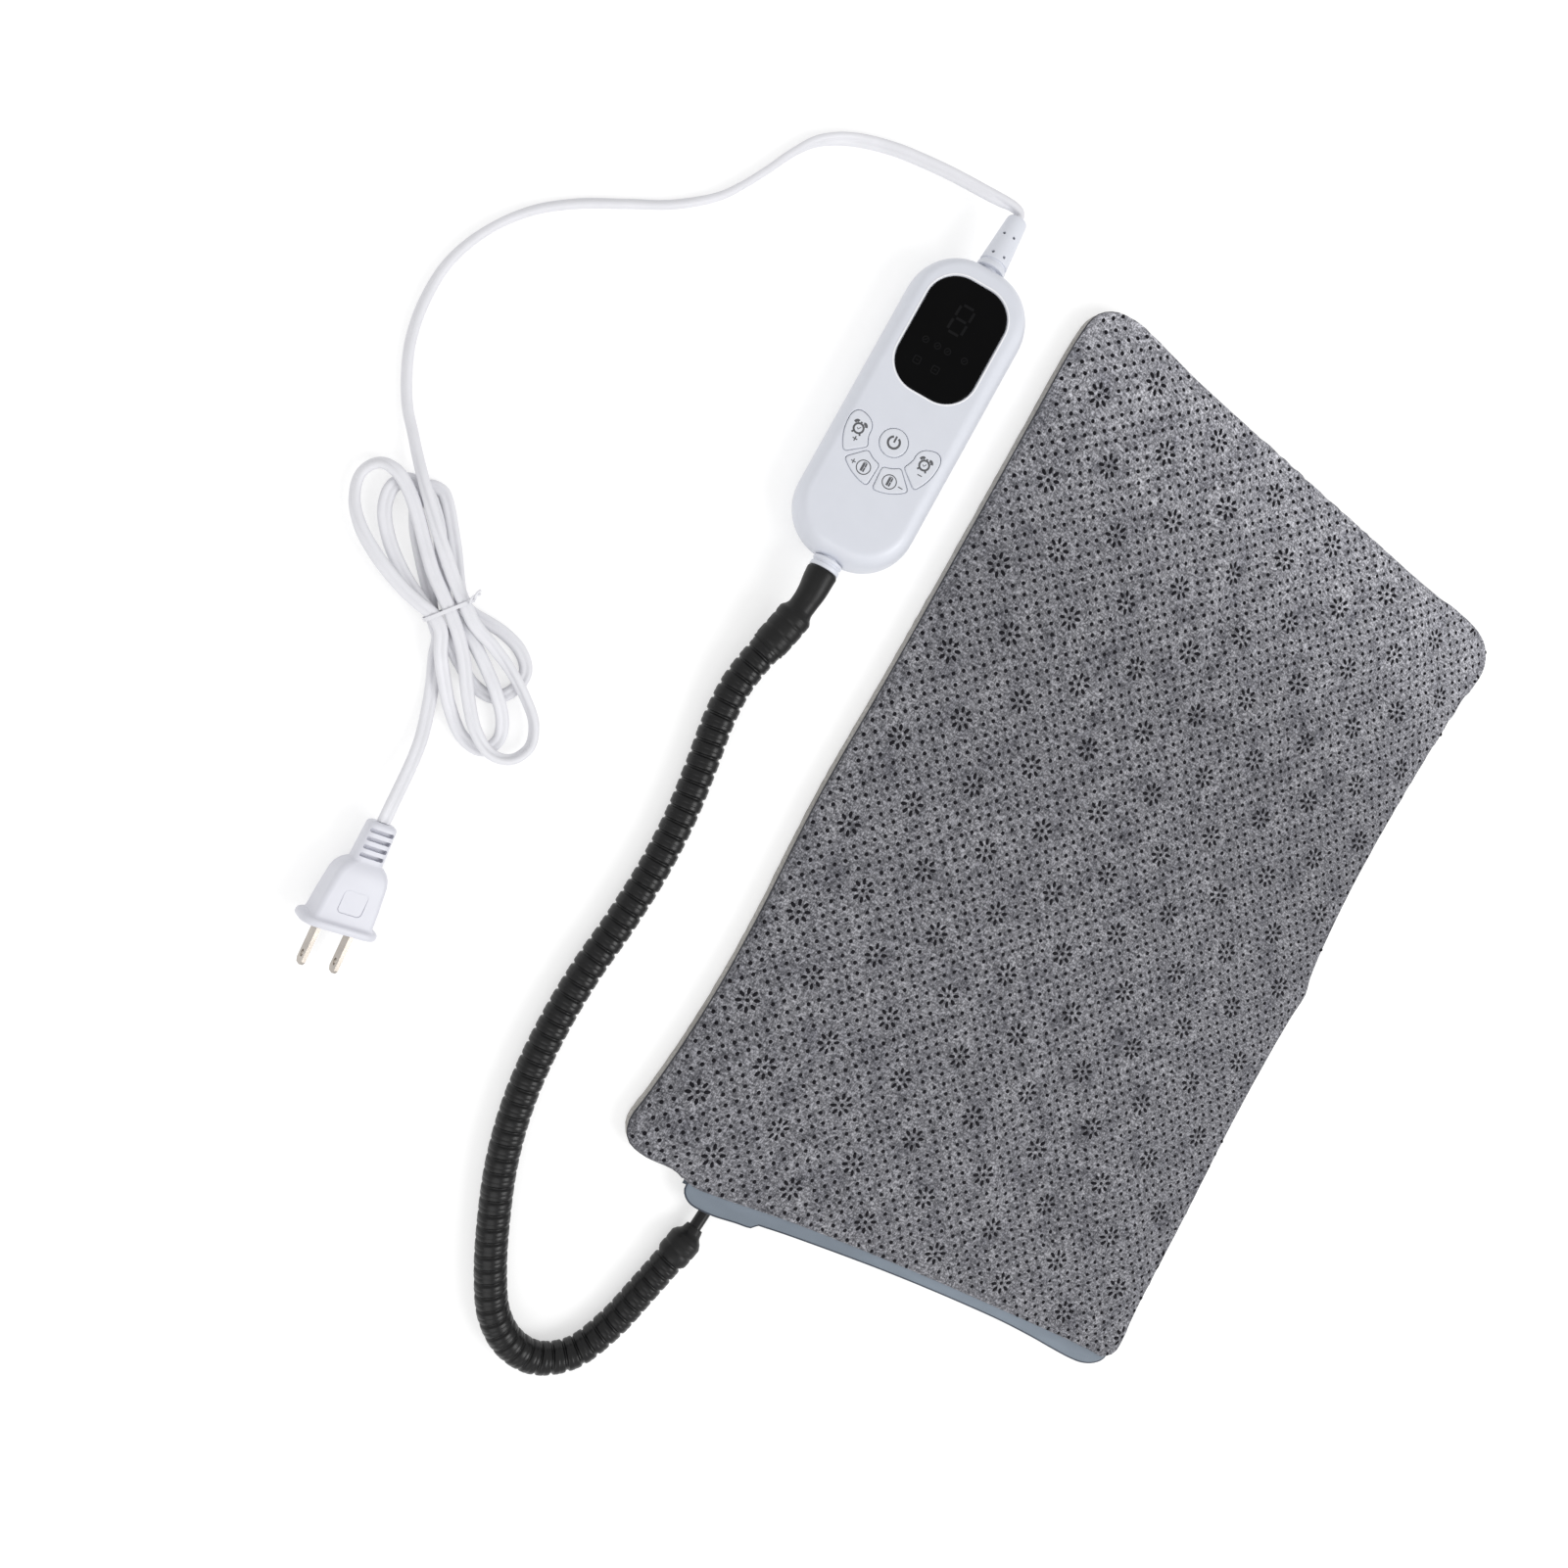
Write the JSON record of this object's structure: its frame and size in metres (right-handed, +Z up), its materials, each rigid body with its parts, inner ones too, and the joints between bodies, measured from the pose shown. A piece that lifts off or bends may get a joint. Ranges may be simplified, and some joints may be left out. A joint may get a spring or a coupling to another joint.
{
  "type": "heating pad with controller",
  "caption": "Flat zipped fabric heating pad with a hand controller on a ribbed hose, push keys under a dark display lens, and a tied flat mains cord with a two-blade plug.",
  "frame": {"origin": "middle of the pad's flat underside, where it lies on a bed, a seat or a person", "axes": "+Z up out of the grip panel, +Y along the pad's long side away from the zip, +X across the pad away from the controller"},
  "size_m": [0.5294, 0.52, 0.0337],
  "materials": {
    "grey_felt": "napped grey grip fabric with small dots and daisies",
    "plush": "short plush",
    "slate_tape": "woven zip tape",
    "zip_nylon": "moulded coil",
    "zip_metal": "lacquered slider",
    "inner_felt": "needle felt",
    "inner_liner": "woven liner",
    "wire_jacket": "smooth",
    "black_hose": "satin",
    "black_sleeve": "matt shrink sleeve",
    "white_case": "fine satin moulding",
    "white_key": "satin",
    "black_lens": "polished",
    "dark_plastic": "moulded",
    "green_board": "solder mask",
    "nickel": "nickel plate",
    "white_cord": "smooth moulded jacket"
  },
  "bodies": {
    "pad_and_controller": {"plush_panel": "plush", "grip_panel": "grey_felt", "zip_tape_upper": "slate_tape", "zip_tape_lower": "slate_tape", "zip_teeth_upper": "zip_nylon", "zip_teeth_lower": "zip_nylon", "zip_bottom_stop": "zip_nylon", "insert_liner_lower": "inner_liner", "insert_felt_lower": "inner_felt", "heating_wire": "wire_jacket", "thermal_cutout": "dark_plastic", "temperature_sensor": "dark_plastic", "insert_felt_upper": "inner_felt", "insert_liner_upper": "inner_liner", "lead_clamp": "dark_plastic", "pad_lead": "black_hose", "lower_shrink_sleeve": "black_sleeve", "ribbed_hose": "black_hose", "upper_shrink_sleeve": "black_sleeve", "hose_collar": "white_case", "front_shell": "white_case", "rear_shell": "white_case", "case_screw_1": "nickel", "case_screw_2": "nickel", "case_screw_3": "nickel", "case_screw_4": "nickel", "display_lens": "black_lens", "display_module": "dark_plastic", "circuit_board": "green_board", "power_switch": "dark_plastic", "timer_plus_switch": "dark_plastic", "timer_minus_switch": "dark_plastic", "heat_plus_switch": "dark_plastic", "heat_minus_switch": "dark_plastic", "film_capacitor": "inner_felt", "triac": "dark_plastic", "fuse": "nickel", "mains_terminal": "dark_plastic", "heater_terminal": "dark_plastic", "mains_boot": "white_case", "mains_cord": "white_cord", "mains_hank": "white_cord", "mains_cord_tail": "white_cord", "twist_tie": "white_cord", "plug_body": "white_cord", "plug_blade_left": "nickel", "plug_blade_right": "nickel"},
    "slider": {"zip_slider": "zip_metal"},
    "pull": {"zip_pull": "zip_metal"},
    "power_key": {"power_button": "white_key", "power_switch_plunger": "dark_plastic"},
    "timer_plus_key": {"timer_plus_button": "white_key", "timer_plus_switch_plunger": "dark_plastic"},
    "timer_minus_key": {"timer_minus_button": "white_key", "timer_minus_switch_plunger": "dark_plastic"},
    "heat_plus_key": {"heat_plus_button": "white_key", "heat_plus_switch_plunger": "dark_plastic"},
    "heat_minus_key": {"heat_minus_button": "white_key", "heat_minus_switch_plunger": "dark_plastic"}
  },
  "joints": [
    {"name": "zip_slide", "type": "slide", "parent": "pad_and_controller", "child": "slider", "axis": [1, 0, 0], "range_m": [0, 0.19]},
    {"name": "zip_pull_hinge", "type": "hinge", "parent": "slider", "child": "pull", "pos_m": [-0.071, -0.21565, 0.0064], "axis": [0, 0, -1], "range_deg": [0, 150]},
    {"name": "power_press", "type": "slide", "parent": "pad_and_controller", "child": "power_key", "axis": [0.3518, 0.0031, -0.9361], "range_m": [0, 0.0005], "stiffness_N_per_m": 1500},
    {"name": "timer_plus_press", "type": "slide", "parent": "pad_and_controller", "child": "timer_plus_key", "axis": [0.3518, 0.0031, -0.9361], "range_m": [0, 0.0005], "stiffness_N_per_m": 1500},
    {"name": "timer_minus_press", "type": "slide", "parent": "pad_and_controller", "child": "timer_minus_key", "axis": [0.3518, 0.0031, -0.9361], "range_m": [0, 0.0005], "stiffness_N_per_m": 1500},
    {"name": "heat_plus_press", "type": "slide", "parent": "pad_and_controller", "child": "heat_plus_key", "axis": [0.3518, 0.0031, -0.9361], "range_m": [0, 0.0005], "stiffness_N_per_m": 1500},
    {"name": "heat_minus_press", "type": "slide", "parent": "pad_and_controller", "child": "heat_minus_key", "axis": [0.3518, 0.0031, -0.9361], "range_m": [0, 0.0005], "stiffness_N_per_m": 1500}
  ]
}
